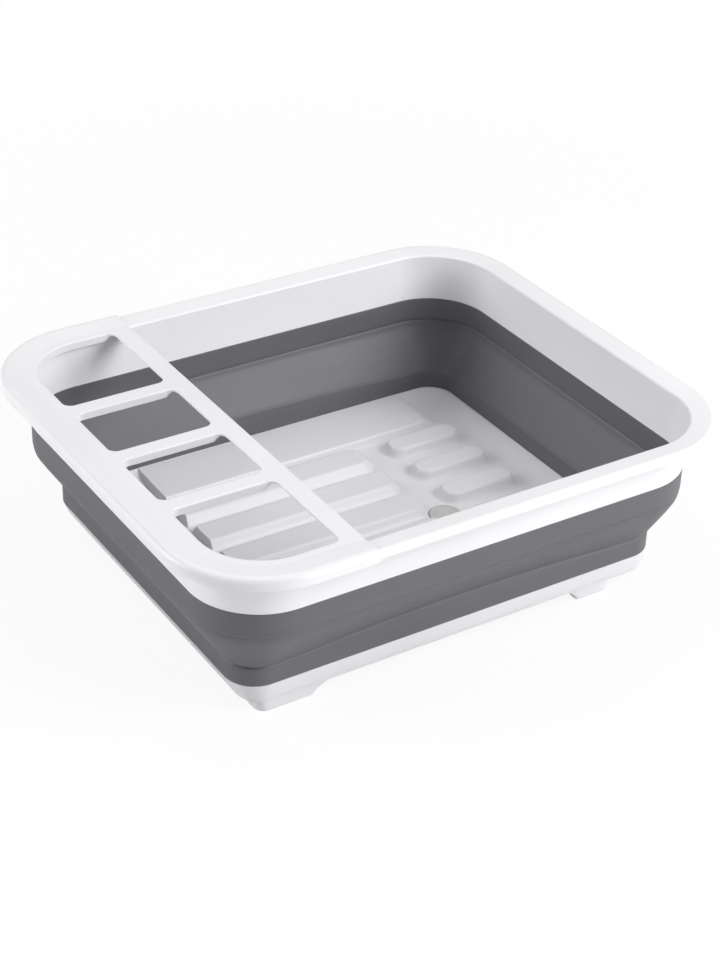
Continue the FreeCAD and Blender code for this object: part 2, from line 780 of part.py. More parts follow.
cutters = ("PartDesign::Pocket", "PartDesign::SubtractiveLoft")
for body in bodies:
    volume = 0
    for feature in body.Group:
        if not feature.isDerivedFrom("PartDesign::Feature"):
            continue
        if feature.TypeId in cutters and feature.Shape.Volume > volume - 1:
            raise RuntimeError("%s cut nothing" % feature.Name)
        volume = feature.Shape.Volume
    if body.Shape.isNull() or not body.Shape.isValid() or len(body.Shape.Solids) != 1:
        raise RuntimeError("%s is not one good solid" % body.Name)
    print("%s: %.0f mm3" % (body.Label, body.Shape.Volume))

os.makedirs("parts", exist_ok=True)
for body in bodies:
    body.Shape.exportStep("parts/%s.step" % body.Label)
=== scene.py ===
import math
import bpy
import bmesh
from mathutils import Matrix, Vector
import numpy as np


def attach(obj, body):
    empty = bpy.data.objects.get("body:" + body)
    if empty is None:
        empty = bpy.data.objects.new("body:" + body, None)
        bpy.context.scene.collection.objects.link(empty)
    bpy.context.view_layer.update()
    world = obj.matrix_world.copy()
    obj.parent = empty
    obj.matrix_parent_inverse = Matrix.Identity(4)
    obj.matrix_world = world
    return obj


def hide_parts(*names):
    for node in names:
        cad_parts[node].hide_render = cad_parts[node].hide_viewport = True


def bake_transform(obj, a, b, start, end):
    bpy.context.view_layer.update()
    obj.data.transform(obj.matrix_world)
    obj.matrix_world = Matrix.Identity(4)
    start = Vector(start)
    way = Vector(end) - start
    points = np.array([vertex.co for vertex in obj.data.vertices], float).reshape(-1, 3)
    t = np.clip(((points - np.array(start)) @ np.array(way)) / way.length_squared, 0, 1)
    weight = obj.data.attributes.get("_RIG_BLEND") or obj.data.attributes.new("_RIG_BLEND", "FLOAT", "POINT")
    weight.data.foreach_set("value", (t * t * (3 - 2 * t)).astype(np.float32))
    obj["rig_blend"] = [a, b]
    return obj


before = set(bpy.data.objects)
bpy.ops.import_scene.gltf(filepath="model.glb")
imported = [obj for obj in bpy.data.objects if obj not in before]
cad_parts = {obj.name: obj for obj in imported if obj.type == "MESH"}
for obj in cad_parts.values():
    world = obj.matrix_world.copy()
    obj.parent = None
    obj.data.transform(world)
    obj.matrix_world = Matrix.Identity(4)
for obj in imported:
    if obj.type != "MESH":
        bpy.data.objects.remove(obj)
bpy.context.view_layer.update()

mm = 0.001
scene = bpy.context.scene
centreX = 0.95  # the rack's own middle lies this far from the frame's origin, in mm
weldReach = 4e-6  # points nearer than this are one, in metres
levelReach = 1e-6  # points nearer than this to a plane lie in it, in metres
longEdge = 0.2  # only the straight runs of the sides are longer, in metres


# camera

cameraSpec = {
    "turn": -33.08,
    "height": 31.77,
    "roll": 1.91,
    "distance": 1290.74,
    "target": (centreX, 0, 50.06),
    "film": 36,
    "lens": 77.62,
    "shift": 0.00756,
    "nearest": 0.05,
}


def placeCamera(spec):
    turn, height, roll = (math.radians(spec[key]) for key in ("turn", "height", "roll"))
    back = Vector((math.sin(turn) * math.cos(height), -math.cos(turn) * math.cos(height), math.sin(height)))
    flat = Vector((math.cos(turn), math.sin(turn), 0))
    upright = back.cross(flat)
    right = flat * math.cos(roll) + upright * math.sin(roll)
    up = upright * math.cos(roll) - flat * math.sin(roll)
    place = (Vector(spec["target"]) + back * spec["distance"]) * mm
    lensData = bpy.data.cameras.new("rackCamera")
    lensData.sensor_fit = "VERTICAL"
    lensData.sensor_height = spec["film"]
    lensData.lens = spec["lens"]
    lensData.shift_x = spec["shift"]
    lensData.clip_start = spec["nearest"]
    camera = bpy.data.objects.new("rackCamera", lensData)
    scene.collection.objects.link(camera)
    camera.matrix_world = Matrix((
        (right.x, up.x, back.x, place.x),
        (right.y, up.y, back.y, place.y),
        (right.z, up.z, back.z, place.z),
        (0, 0, 0, 1),
    ))
    scene.camera = camera


# light: three softboxes and a weak room, which the camera sees as white

lightSpec = {
    "aim": (0, 0, 0.05),
    "softboxes": {
        "top": {"place": (0.15, 0.25, 1.5), "size": 1.8, "power": 8.5},
        "front": {"place": (0.95, -1.25, 1.05), "size": 1.1, "power": 31},
        "left": {"place": (-1.45, 0.85, 0.75), "size": 0.9, "power": 18},
    },
    "roomTint": (0.97, 0.98, 1.0),
    "ambient": 0.2,
}


def placeLights(spec):
    for name, values in spec["softboxes"].items():
        lamp = bpy.data.lights.new(name + "Softbox", "AREA")
        lamp.shape = "SQUARE"
        lamp.size = values["size"]
        lamp.energy = values["power"]
        holder = bpy.data.objects.new(name + "Softbox", lamp)
        scene.collection.objects.link(holder)
        place = Vector(values["place"])
        holder.location = place
        holder.rotation_euler = (place - Vector(spec["aim"])).to_track_quat("Z", "Y").to_euler()
    world = bpy.data.worlds.new("studio")
    scene.world = world
    world.use_nodes = True
    nodes, links = world.node_tree.nodes, world.node_tree.links
    nodes.clear()
    out = nodes.new("ShaderNodeOutputWorld")
    mix = nodes.new("ShaderNodeMixShader")
    path = nodes.new("ShaderNodeLightPath")
    room = nodes.new("ShaderNodeBackground")
    room.inputs["Color"].default_value = spec["roomTint"] + (1,)
    room.inputs["Strength"].default_value = spec["ambient"]
    white = nodes.new("ShaderNodeBackground")
    white.inputs["Color"].default_value = (1, 1, 1, 1)
    white.inputs["Strength"].default_value = 1
    links.new(path.outputs["Is Camera Ray"], mix.inputs[0])
    links.new(room.outputs[0], mix.inputs[1])
    links.new(white.outputs[0], mix.inputs[2])
    links.new(mix.outputs[0], out.inputs["Surface"])


# floor: white to the camera, with a share of its own shading near the rack for the shadow

floorSpec = {
    "halfSize": 6,
    "paint": (0.92, 0.92, 0.92),
    "shade": 0.1,  # how much of its own shading the floor shows to the camera
    "shadeReach": (0.35, 1.1),  # between these distances from the rack that share runs out
}


def placeFloor(spec):
    shape = bmesh.new()
    bmesh.ops.create_grid(shape, x_segments=1, y_segments=1, size=spec["halfSize"])
    data = bpy.data.meshes.new("studioFloor")
    shape.to_mesh(data)
    shape.free()
    floor = bpy.data.objects.new("studioFloor", data)
    scene.collection.objects.link(floor)
    paint = bpy.data.materials.new("studioFloor")
    paint.use_nodes = True
    nodes, links = paint.node_tree.nodes, paint.node_tree.links
    nodes.clear()
    out = nodes.new("ShaderNodeOutputMaterial")
    mix = nodes.new("ShaderNodeMixShader")
    path = nodes.new("ShaderNodeLightPath")
    place = nodes.new("ShaderNodeTexCoord")
    away = nodes.new("ShaderNodeVectorMath")
    away.operation = "LENGTH"
    links.new(place.outputs["Object"], away.inputs[0])
    fade = nodes.new("ShaderNodeMapRange")
    fade.interpolation_type = "SMOOTHSTEP"
    fade.inputs["From Min"].default_value, fade.inputs["From Max"].default_value = spec["shadeReach"]
    fade.inputs["To Min"].default_value = 1 - spec["shade"]
    fade.inputs["To Max"].default_value = 1
    links.new(away.outputs["Value"], fade.inputs["Value"])
    share = nodes.new("ShaderNodeMath")
    share.operation = "MULTIPLY"
    links.new(path.outputs["Is Camera Ray"], share.inputs[0])
    links.new(fade.outputs["Result"], share.inputs[1])
    lit = nodes.new("ShaderNodeBsdfDiffuse")
    lit.inputs["Color"].default_value = spec["paint"] + (1,)
    white = nodes.new("ShaderNodeEmission")
    white.inputs["Color"].default_value = (1, 1, 1, 1)
    white.inputs["Strength"].default_value = 1
    links.new(share.outputs[0], mix.inputs[0])
    links.new(lit.outputs[0], mix.inputs[1])
    links.new(white.outputs[0], mix.inputs[2])
    links.new(mix.outputs[0], out.inputs["Surface"])
    data.materials.append(paint)


placeCamera(cameraSpec)
placeLights(lightSpec)
placeFloor(floorSpec)
scene.view_settings.view_transform = "Standard"
print("camera, light and floor are in place")


# materials

def newMaterial(name):
    paint = bpy.data.materials.new(name)
    paint.use_nodes = True
    nodes = paint.node_tree.nodes
    nodes.clear()
    out = nodes.new("ShaderNodeOutputMaterial")
    skin = nodes.new("ShaderNodeBsdfPrincipled")
    paint.node_tree.links.new(skin.outputs[0], out.inputs["Surface"])
    place = nodes.new("ShaderNodeTexCoord")
    return paint, nodes, paint.node_tree.links, skin, place.outputs["Object"]


def addNoise(nodes, links, place, scale, detail, stretch=(1, 1, 1)):
    turn = nodes.new("ShaderNodeMapping")
    turn.inputs["Scale"].default_value = stretch
    links.new(place, turn.inputs["Vector"])
    noise = nodes.new("ShaderNodeTexNoise")
    noise.inputs["Scale"].default_value = scale
    noise.inputs["Detail"].default_value = detail
    links.new(turn.outputs[0], noise.inputs["Vector"])
    return noise.outputs["Fac"]


def addRange(nodes, links, value, low, high):
    # noise seldom leaves 0.3 to 0.7, so that span is spread from low to high
    spread = nodes.new("ShaderNodeMapRange")
    spread.inputs["From Min"].default_value = 0.3
    spread.inputs["From Max"].default_value = 0.7
    spread.inputs["To Min"].default_value = low
    spread.inputs["To Max"].default_value = high
    links.new(value, spread.inputs["Value"])
    return spread.outputs["Result"]


def addTones(nodes, links, value, finish):
    # a mix node keeps its colours in the sockets 6 and 7 and gives them out at 2
    tones = nodes.new("ShaderNodeMix")
    tones.data_type = "RGBA"
    tones.inputs[6].default_value = finish["dark"] + (1,)
    tones.inputs[7].default_value = finish["light"] + (1,)
    links.new(value, tones.inputs[0])
    return tones.outputs[2]


def addBump(nodes, links, value, height, strength):
    bump = nodes.new("ShaderNodeBump")
    bump.inputs["Strength"].default_value = strength
    bump.inputs["Distance"].default_value = height
    links.new(value, bump.inputs["Height"])
    return bump.outputs[0]


def whitePlastic(name, finish):
    # moulded polypropylene: even colour, a soft gloss that wanders a little, a trace of orange peel
    paint, nodes, links, skin, place = newMaterial(name)
    rough = finish["rough"]
    cloud = addRange(nodes, links, addNoise(nodes, links, place, scale=9, detail=2), 0, 1)
    links.new(addTones(nodes, links, cloud, finish), skin.inputs["Base Color"])
    haze = addNoise(nodes, links, place, scale=22, detail=2)
    links.new(addRange(nodes, links, haze, rough - 0.02, rough + 0.03), skin.inputs["Roughness"])
    peel = addNoise(nodes, links, place, scale=260, detail=2)
    links.new(addBump(nodes, links, peel, height=0.00004, strength=0.35), skin.inputs["Normal"])
    skin.inputs["IOR"].default_value = 1.49
    return paint


def softGrey(name, finish):
    # satin elastomer: faint flow marks that run round the wall, finger-smooth mottling, fine tooth
    paint, nodes, links, skin, place = newMaterial(name)
    rough = finish["rough"]
    flow = addNoise(nodes, links, place, scale=60, detail=4, stretch=(0.12, 0.12, 1.6))
    cloud = addNoise(nodes, links, place, scale=18, detail=5)
    both = nodes.new("ShaderNodeMix")
    both.inputs[0].default_value = 0.45
    links.new(flow, both.inputs[2])
    links.new(cloud, both.inputs[3])
    tone = addRange(nodes, links, both.outputs[0], 0, 1)
    links.new(addTones(nodes, links, tone, finish), skin.inputs["Base Color"])
    links.new(addRange(nodes, links, both.outputs[0], rough - 0.06, rough + 0.08), skin.inputs["Roughness"])
    tooth = addNoise(nodes, links, place, scale=900, detail=3)
    links.new(addBump(nodes, links, tooth, height=0.00003, strength=0.4), skin.inputs["Normal"])
    skin.inputs["IOR"].default_value = 1.48
    return paint


# rings of rounded rectangles, from which most of the pieces are stacked

def startRing(shape, steps):
    # a closed loop with steps + 1 points in each quarter; each point remembers its quarter and its turn
    quarterLayer = shape.verts.layers.int.get("quarter") or shape.verts.layers.int.new("quarter")
    turnLayer = shape.verts.layers.float.get("turn") or shape.verts.layers.float.new("turn")
    points = bmesh.ops.create_circle(shape, cap_ends=False, radius=1, segments=4 * (steps + 1))["verts"]
    for number, point in enumerate(points):
        quarter, step = divmod(number, steps + 1)
        point[quarterLayer] = quarter
        point[turnLayer] = (quarter + step / steps) * math.pi / 2
    return points


def placeRing(shape, points, box, radii, height):
    # box is (left, right, front, back) and radii run anticlockwise from the front left corner, in mm
    left, right, front, back = box
    corners = (
        (right - radii[2], back - radii[2], radii[2]),
        (left + radii[3], back - radii[3], radii[3]),
        (left + radii[0], front + radii[0], radii[0]),
        (right - radii[1], front + radii[1], radii[1]),
    )
    quarterLayer = shape.verts.layers.int["quarter"]
    turnLayer = shape.verts.layers.float["turn"]
    for point in points:
        x, y, radius = corners[point[quarterLayer]]
        turn = point[turnLayer]
        place = (x + radius * math.cos(turn) + centreX, y + radius * math.sin(turn), height)
        point.co = Vector(place) * mm


def ringEdges(points):
    inside = set(points)
    return [edge for edge in {e for p in points for e in p.link_edges} if set(edge.verts) <= inside]


def growRing(shape, edges):
    grown = bmesh.ops.extrude_edge_only(shape, edges=edges)["geom"]
    return [item for item in grown if isinstance(item, bmesh.types.BMVert)]


def stackRings(shape, levels, steps, closed=False, capped=False):
    # stacks rings from the first level to the last and gives back the last ring's points
    first = points = startRing(shape, steps)
    placeRing(shape, points, *levels[0])
    if capped:
        bmesh.ops.contextual_create(shape, geom=ringEdges(points))
    for level in levels[1:]:
        points = growRing(shape, ringEdges(points))
        placeRing(shape, points, *level)
    if capped:
        bmesh.ops.contextual_create(shape, geom=ringEdges(points))
    if closed:
        bmesh.ops.bridge_loops(shape, edges=ringEdges(first) + ringEdges(points))
    return points


def insetRing(outline, inward, height):
    # a ring about the rack's middle, from half its length, half its depth and its corner radius
    halfX, halfY, radius = (side - inward for side in outline)
    return (-halfX, halfX, -halfY, halfY), (radius,) * 4, height


def turnedRings(place, section):
    x, y = place
    return [((x - r, x + r, y - r, y + r), (r,) * 4, height) for r, height in roundedSection(section)]


def roundedSection(corners, steps=5):
    # corners are (across, up) or (across, up, radius); gives the section's points with the corners rounded
    points = []
    for number, corner in enumerate(corners):
        here = Vector(corner[:2])
        if len(corner) < 3 or number in (0, len(corners) - 1):
            points.append(tuple(here))
            continue
        before = (Vector(corners[number - 1][:2]) - here).normalized()
        after = (Vector(corners[number + 1][:2]) - here).normalized()
        half = before.angle(after) / 2
        inward = (before + after).normalized()
        middle = here + inward * (corner[2] / math.sin(half))
        start = here + before * (corner[2] / math.tan(half)) - middle
        end = here + after * (corner[2] / math.tan(half)) - middle
        swing = start.angle_signed(end)
        for step in range(steps + 1):
            turned = start.copy()
            turned.rotate(Matrix.Rotation(-swing * step / steps, 2))
            points.append(tuple(middle + turned))
    return points


def quarterArc(radius, degrees=(30, 60, 90)):
    # how far each step of a rounded edge lies from the side and from the top
    turns = [math.radians(value) for value in degrees]
    return [(radius * (1 - math.sin(turn)), radius * (1 - math.cos(turn))) for turn in turns]


# finishing

def linkPiece(shape, name, material, sharp=35):
    data = bpy.data.meshes.new(name)
    shape.to_mesh(data)
    shape.free()
    data.polygons.foreach_set("use_smooth", [True] * len(data.polygons))
    data.set_sharp_from_angle(angle=math.radians(sharp))
    data.materials.append(material)
    piece = bpy.data.objects.new(name, data)
    scene.collection.objects.link(piece)
    return piece


def finishMesh(shape, name, material, sharp=35):
    bmesh.ops.remove_doubles(shape, verts=shape.verts, dist=weldReach)
    bmesh.ops.recalc_face_normals(shape, faces=shape.faces)
    return linkPiece(shape, name, material, sharp)


def softShade(piece):
    shade = piece.modifiers.new("softShade", "WEIGHTED_NORMAL")
    shade.keep_sharp = True


# rim: bead, falling flange and leaning skirt

rimSpec = {
    "plastic": {"dark": (0.83, 0.83, 0.845), "light": (0.87, 0.87, 0.885), "rough": 0.3},
    "outline": (183.0, 156.5, 59.4),
    "section": (  # inward from the lip's outer face, height and rounding
        (15.4, 82.5),
        (12.3, 111.2, 2.5),
        (2.0, 112.6, 1.2),
        (2.0, 109.0, 0.6),
        (0, 109.0, 0.8),
        (0, 115.1, 2.5),
        (14.6, 113.2, 1.6),
        (17.8, 82.5),
    ),
    "cornerSteps": 32,
}


def buildRim(spec):
    shape = bmesh.new()
    rings = [insetRing(spec["outline"], *spot) for spot in roundedSection(spec["section"])]
    stackRings(shape, rings, spec["cornerSteps"], closed=True)
    rim = finishMesh(shape, "rim", whitePlastic("rimPlastic", spec["plastic"]))
    softShade(rim)
    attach(rim, "rim")
    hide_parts("rim_frame")
    print("rim:", len(rim.data.polygons), "faces")


buildRim(rimSpec)


# folding wall

wallSpec = {
    "rubber": {"dark": (0.112, 0.112, 0.124), "light": (0.142, 0.143, 0.157), "rough": 0.5},
    "bottom": 21.25,
    "top": 82.45,
    "edgeRound": 0.3,
    "lowCrease": 34,
    "highCrease": 66,
    "creaseRound": 0.05,  # share of the panel's height that rounds each crease off
    "creaseHeight": 1.7,
    "lowDepth": 1.2,
    "highDepth": 0.4,
    "lowRing": (149.0, 122.5, 20),
    "highRing": (167.6, 141.1, 44),
    "lowWall": 2.3,
    "highWall": 2.4,
    "panelWall": 2.0,
    "bow": 1.2,
    "bowPeak": 0.86,  # share of the panel's height at which it bulges most
    "bowPower": 1.3,
    "sag": 4.5,  # how far the lower crease climbs in the middle of the long sides
    "sagLength": 118,
    "sagSides": (100, 115),  # off the middle line, from none of the climb to all of it
    "sagBelow": (1, 13),  # above the wall's bottom, from none to all
    "sagAbove": (3, 27),  # below the upper crease, from none to all
    "fineGap": 0.4,  # between rings near a crease
    "wideGap": 1.6,
    "fineReach": 2.4,
    "cornerSteps": 24,
    "sideCuts": 11,
}


def softRamp(share, low, high):
    # rises from 0 to 1 with its two ends rounded off over low and high
    if share < low:
        return max(share + low, 0) ** 2 / (4 * low)
    if share > 1 - high:
        return 1 - max(1 + high - share, 0) ** 2 / (4 * high)
    return share


def ramp(value, ends):
    return min(max((value - ends[0]) / (ends[1] - ends[0]), 0), 1)


def wallRing(spec, height, inward):
    share = (height - spec["lowCrease"]) / (spec["highCrease"] - spec["lowCrease"])
    share = softRamp(share, spec["creaseRound"], spec["creaseRound"])
    ring = [low + (high - low) * share for low, high in zip(spec["lowRing"], spec["highRing"])]
    return insetRing(ring, inward, height)


def creaseDip(spec, height, crease):
    away = abs(height - spec[crease + "Crease"]) / spec["creaseHeight"]
    return spec[crease + "Depth"] * (0.5 + 0.5 * math.cos(math.pi * away)) if away < 1 else 0


def panelBow(spec, share):
    peak = spec["bowPeak"]
    rise = math.sin(math.pi / 2 * min(share / peak, 1)) ** spec["bowPower"]
    return spec["bow"] * rise * (1 - max(share - peak, 0) / (1 - peak))


def wallHeights(spec):
    fine, lip = spec["fineGap"], spec["edgeRound"]
    heights = [spec["bottom"], spec["bottom"] + fine]
    while heights[-1] < spec["top"] - lip:
        near = min(abs(heights[-1] - spec["lowCrease"]), abs(heights[-1] - spec["highCrease"]))
        heights.append(heights[-1] + (fine if near < spec["fineReach"] else spec["wideGap"]))
    return [height for height in heights if height < spec["top"] - lip] + [spec["top"] - lip, spec["top"]]


def sagSides(shape, spec):
    sides = [e for e in shape.edges if e.calc_length() > longEdge]
    bmesh.ops.subdivide_edges(shape, cuts=spec["sideCuts"], edges=sides)
    for point in shape.verts:
        x, y, height = point.co / mm
        along = max(1 - (x / spec["sagLength"]) ** 2, 0) * ramp(abs(y), spec["sagSides"])
        below = ramp(height - spec["bottom"], spec["sagBelow"])
        above = ramp(spec["highCrease"] - height, spec["sagAbove"])
        point.co.z += spec["sag"] * along * min(below, above) * mm


def buildWall(spec):
    shape = bmesh.new()
    low, high = spec["lowCrease"], spec["highCrease"]
    heights = wallHeights(spec)
    outside, inside = [], []
    for height in heights:
        share = ramp(height, (low, high))
        bow = panelBow(spec, share)
        wall = spec["lowWall"] + (spec["highWall"] - spec["lowWall"]) * share
        if 0 < share < 1:
            wall = spec["panelWall"]
        ends = spec["edgeRound"] if height in (heights[0], heights[-1]) else 0
        lowDip, highDip = creaseDip(spec, height, "low"), creaseDip(spec, height, "high")
        outside.append(wallRing(spec, height, lowDip + highDip - bow + ends))
        inside.append(wallRing(spec, height, wall - bow - highDip - ends))
    stackRings(shape, outside + inside[::-1], spec["cornerSteps"], closed=True)
    sagSides(shape, spec)
    wall = finishMesh(shape, "foldingWall", softGrey("wallRubber", spec["rubber"]), sharp=50)
    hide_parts("fold_wall")
    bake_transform(wall, "base", "rim", start=(0, 0, low * mm), end=(0, 0, high * mm))
    print("folding wall:", len(wall.data.polygons), "faces")


buildWall(wallSpec)


# cutlery cover

coverSpec = {
    "plastic": {"dark": (0.83, 0.83, 0.845), "light": (0.87, 0.87, 0.885), "rough": 0.3},
    "outline": (183.0, 156.5, 59.4),
    "section": (  # inward from the rim's outer face, height and rounding, on the upper skin
        (-1.9, 109.0),
        (-1.9, 116.95, 4.2),
        (14.6, 115.0, 6),
        (18.2, 115.0),
    ),
    "sectionSteps": 7,
    "edge": -82.7,
    "edgeFlange": 5.1,  # from the top down
    "edgeRound": 0.8,
    "windows": (  # left, right, near and far side, and the far left corner's radius
        (-161.7, -95.3, 5.5, 54.5, 5.5),
        (-161.7, -95.3, 65.5, 137.0, 38.0),
    ),
    "windowRound": 5.5,
    "windowEdge": 0.9,
    "windowFlange": 5.0,
    "windowFade": 1.6,  # how soon the flange has run out on the side of the straight strip
    "windowLip": 0.4,  # what is left of it there, below the edge's rounding
    "windowSteps": 9,
    "wall": 1.6,
    "rimBevel": 0.45,
    "bevelSteps": 3,
    "bevelAngle": 50,
    "cornerSteps": 32,
}


def levelEdges(edges, level):
    return [e for e in edges if all(abs(v.co.z - level * mm) < levelReach for v in e.verts)]


def windowRing(spec, window, side, outward, height):
    left, right, near, far, tub = window
    small = spec["windowRound"] + outward
    box = (left - outward, right + outward, near - outward, far + outward)
    radii = (small, small, small, tub + outward)
    if side < 0:
        box = box[:2] + (-box[3], -box[2])
        radii = radii[::-1]
    return box, radii, height


def addSkin(shape, spec):
    # the rolled lip up to the plate, cut off at the straight edge; gives back the plate's border
    section = roundedSection(spec["section"], spec["sectionSteps"])
    stackRings(shape, [insetRing(spec["outline"], *spot) for spot in section], spec["cornerSteps"])
    bmesh.ops.remove_doubles(shape, verts=shape.verts, dist=weldReach)
    cut = (spec["edge"] + centreX - spec["edgeRound"]) * mm
    bmesh.ops.bisect_plane(shape, geom=shape.verts[:] + shape.edges[:] + shape.faces[:], dist=1e-7,
                           plane_co=(cut, 0, 0), plane_no=(1, 0, 0), clear_outer=True)
    border = levelEdges([e for e in shape.edges if e.is_boundary], spec["section"][-1][1])
    border = [e for e in border if not all(abs(v.co.x - cut) < levelReach for v in e.verts)]
    ends = [v for v in {v for e in border for v in e.verts} if sum(e in border for e in v.link_edges) == 1]
    return border + bmesh.ops.contextual_create(shape, geom=ends)["edges"]


def addWindow(shape, spec, window, side):
    # a rounded edge and a flange that runs out towards the straight strip; gives back the upper edge
    top = spec["section"][-1][1]
    spots = [(outward, top - down) for outward, down in quarterArc(spec["windowEdge"], (0, 30, 60, 90))]
    rings = [windowRing(spec, window, side, *spot) for spot in spots + [(0, top - spec["windowFlange"])]]
    known = set(shape.edges)
    foot = stackRings(shape, rings, spec["windowSteps"])
    turnLayer = shape.verts.layers.float["turn"]
    gone = spec["windowFlange"] - spec["windowEdge"] - spec["windowLip"]
    for point in foot:
        point.co.z += gone * min(max(math.cos(point[turnLayer]), 0) * spec["windowFade"], 1) * mm
    return levelEdges([e for e in shape.edges if e not in known], top)


def addEdgeFlange(shape, spec):
    top, around = spec["section"][-1][1], spec["edgeRound"]
    straight = levelEdges([e for e in shape.edges if e.is_boundary and e.calc_length() > longEdge], top)
    spots = quarterArc(around)
    for inward, down in spots + [(0, spec["edgeFlange"])]:
        points = growRing(shape, straight)
        straight = ringEdges(points)
        for point in points:
            point.co.x = (spec["edge"] + centreX - inward) * mm
            point.co.z = (top - down) * mm


def buildCover(spec):
    shape = bmesh.new()
    border = addSkin(shape, spec)
    for window in spec["windows"]:
        for side in (1, -1):
            border += addWindow(shape, spec, window, side)
    bmesh.ops.remove_doubles(shape, verts=shape.verts, dist=weldReach)
    border = [e for e in border if e.is_valid]
    bmesh.ops.triangle_fill(shape, use_beauty=True, use_dissolve=False, normal=(0, 0, 1), edges=border)
    addEdgeFlange(shape, spec)
    bmesh.ops.recalc_face_normals(shape, faces=shape.faces)
    plate = max(shape.faces, key=lambda f: f.calc_center_median().z * (abs(f.normal.z) > 0.9))
    if plate.normal.z < 0:
        bmesh.ops.reverse_faces(shape, faces=shape.faces)
    cover = linkPiece(shape, "cutleryCover", whitePlastic("coverPlastic", spec["plastic"]))
    skin = cover.modifiers.new("wall", "SOLIDIFY")
    skin.thickness = spec["wall"] * mm
    skin.offset = -1
    skin.use_even_offset = True
    soft = cover.modifiers.new("edges", "BEVEL")
    soft.width = spec["rimBevel"] * mm
    soft.segments = spec["bevelSteps"]
    soft.limit_method = "ANGLE"
    soft.angle_limit = math.radians(spec["bevelAngle"])
    soft.harden_normals = False
    softShade(cover)
    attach(cover, "cover")
    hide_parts("cutlery_cover")
    print("cutlery cover:", len(cover.data.polygons), "faces")


buildCover(coverSpec)


# tray: dished floor with ribs and ledges, skirt, drain and feet

traySpec = {
    # the tray is the same white plastic as the rim and cover; its darker tones are painted shade for the shade
    # inside the tub
    "plastic": {"dark": (0.73, 0.73, 0.75), "light": (0.78, 0.78, 0.8), "rough": 0.38},
    "outline": (149.0, 122.5, 20),
    "edge": 21.2,
    "wall": 2.3,
    "floor": 14.5,
    "floorWall": 2.2,
    "dishReach": 21.7,
    "dishTop": 20.7,
    "dishCurve": 2.5,
    "dishOver": 0.3,  # how far the dish may climb on inside the skirt
    "endDraft": 4.5,
    "stepHeight": 11.4,
    "section": (  # inward from the outer face, height and rounding
        (2.3, 21.2),
        (0, 21.2),
        (0, 11.4, 0.9),
        (1.2, 11.4, 0.3),
        (1.2, 9.0, 0.6),
        (3.5, 9.0, 0.4),
        (3.5, 12.0, 0.5),
        (2.3, 13.0, 0.5),
    ),
    "rows": (-64, -32, 0, 32, 64),
    "raised": (  # ribs run on past their upright left end, pads are round at both ends
        {"left": -90, "right": 53, "half": 13.5, "flank": 4.2, "corner": 10, "leftCorner": 0, "runOn": 20},
        {"left": 67.6, "right": 125.4, "half": 10.25, "flank": 3, "corner": 9.75, "leftCorner": 9.75, "runOn": 0},
    ),
    "ribHeight": 6.5,
    "ribRound": (0.2, 0.12),  # share of the flank that rounds its foot and its shoulder
    "endFlank": 0.9,
    "endRound": (0.3, 0.3),
    "ledge": {"left": -90, "right": 122, "edge": 79.5, "corner": 4, "stretch": 5, "beyond": 150},
    "ledgeHeight": 5.4,
    "ledgeFlank": 2.0,
    "ledgeRound": (0.25, 0.3),
    "ledgeRise": 1.2,  # over ledgeWidth, towards the wall
    "ledgeWidth": 40,
    "ledgeBlend": 1.6,
    "acrossRuns": (  # grid lines of the floor: start, end and spacing
        (-148, -122, 1.6), (-122, -91.2, 5), (-91.2, -88.2, 0.3), (-88.2, 40, 8), (40, 79, 0.9),
        (79, 110, 5), (110, 127, 0.85), (127, 148, 1.6),
    ),
    "sideRuns": (
        (0, 3.2, 1.6), (3.2, 14.8, 0.83), (14.8, 17.2, 0.8), (17.2, 28.8, 0.83), (28.8, 35.2, 1.6),
        (35.2, 46.8, 0.83), (46.8, 49.2, 0.8), (49.2, 60.8, 0.83), (60.8, 67.2, 1.6), (67.2, 78.5, 0.83),
        (78.5, 82.3, 0.38), (82.3, 98, 2.6), (98, 122, 1.5),
    ),
    "trimPlanes": 12,
    "trimOverlap": 0.4,  # how far the floor reaches into the skirt
    "drain": (61.0, -16.0),
    "drainRing": 11.2,
    "drainSegments": 64,
    "drainGap": 0.2,  # between that ring and the nearest point of the grid that stays
    "drainBelt": 4,  # within this of the ring lies the edge of the opened grid
    "drainSteps": 12,
    "drainSection": (  # radius, height and rounding
        (11.2, 14.5),
        (10.9, 14.3),
        (10.9, 13.2, 0.3),
        (7.5, 13.2, 0.5),
        (7.5, 10.9, 0.3),
        (13.3, 10.9, 0.5),
        (13.3, 12.6),
        (11.2, 12.6),
    ),
    "feet": (  # left and right end on the ground, spread of the inner flank, side of that flank
        {"left": -136, "right": -99, "spread": 15, "inner": 1},
        {"left": 89, "right": 116, "spread": 10, "inner": 0},
    ),
    "footFront": 119.6,
    "footDepth": 22,
    "footCorner": 7,
    "footEdge": 2,
    "coreCorner": 1,  # least radii inside the foot, of that corner and of the others
    "coreEdge": 0.4,
    "footSteps": 6,
    "footSole": 1.6,
    "footWall": 3,
    "footSpreadTop": 9,  # height at which the spread is complete
    "footOuter": (12.2, 9, 8.4, 7.5, 6.5, 5.5, 4.5, 3.5, 2.5),
    "footCore": (0.5, 3.5, 6, 9, 11.6),
    "soleEdge": 0.2,
    "cornerSteps": 16,
}


def boxDepth(x, y, box, radii):
    # how deep a spot lies inside a rounded rectangle, negative outside it
    left, right, front, back = box
    onRight = x > (left + right) / 2
    onBack = y > (front + back) / 2
    radius = radii[(2 if onRight else 3) if onBack else (1 if onRight else 0)]
    inX = right - x if onRight else x - left
    inY = back - y if onBack else y - front
    if inX < radius and inY < radius:
        return radius - math.hypot(radius - inX, radius - inY)
    return min(inX, inY)


def softMax(one, other, soft):
    near = max(soft - abs(one - other), 0)
    return max(one, other) + near * near / (4 * soft) if soft > 1e-6 else max(one, other)


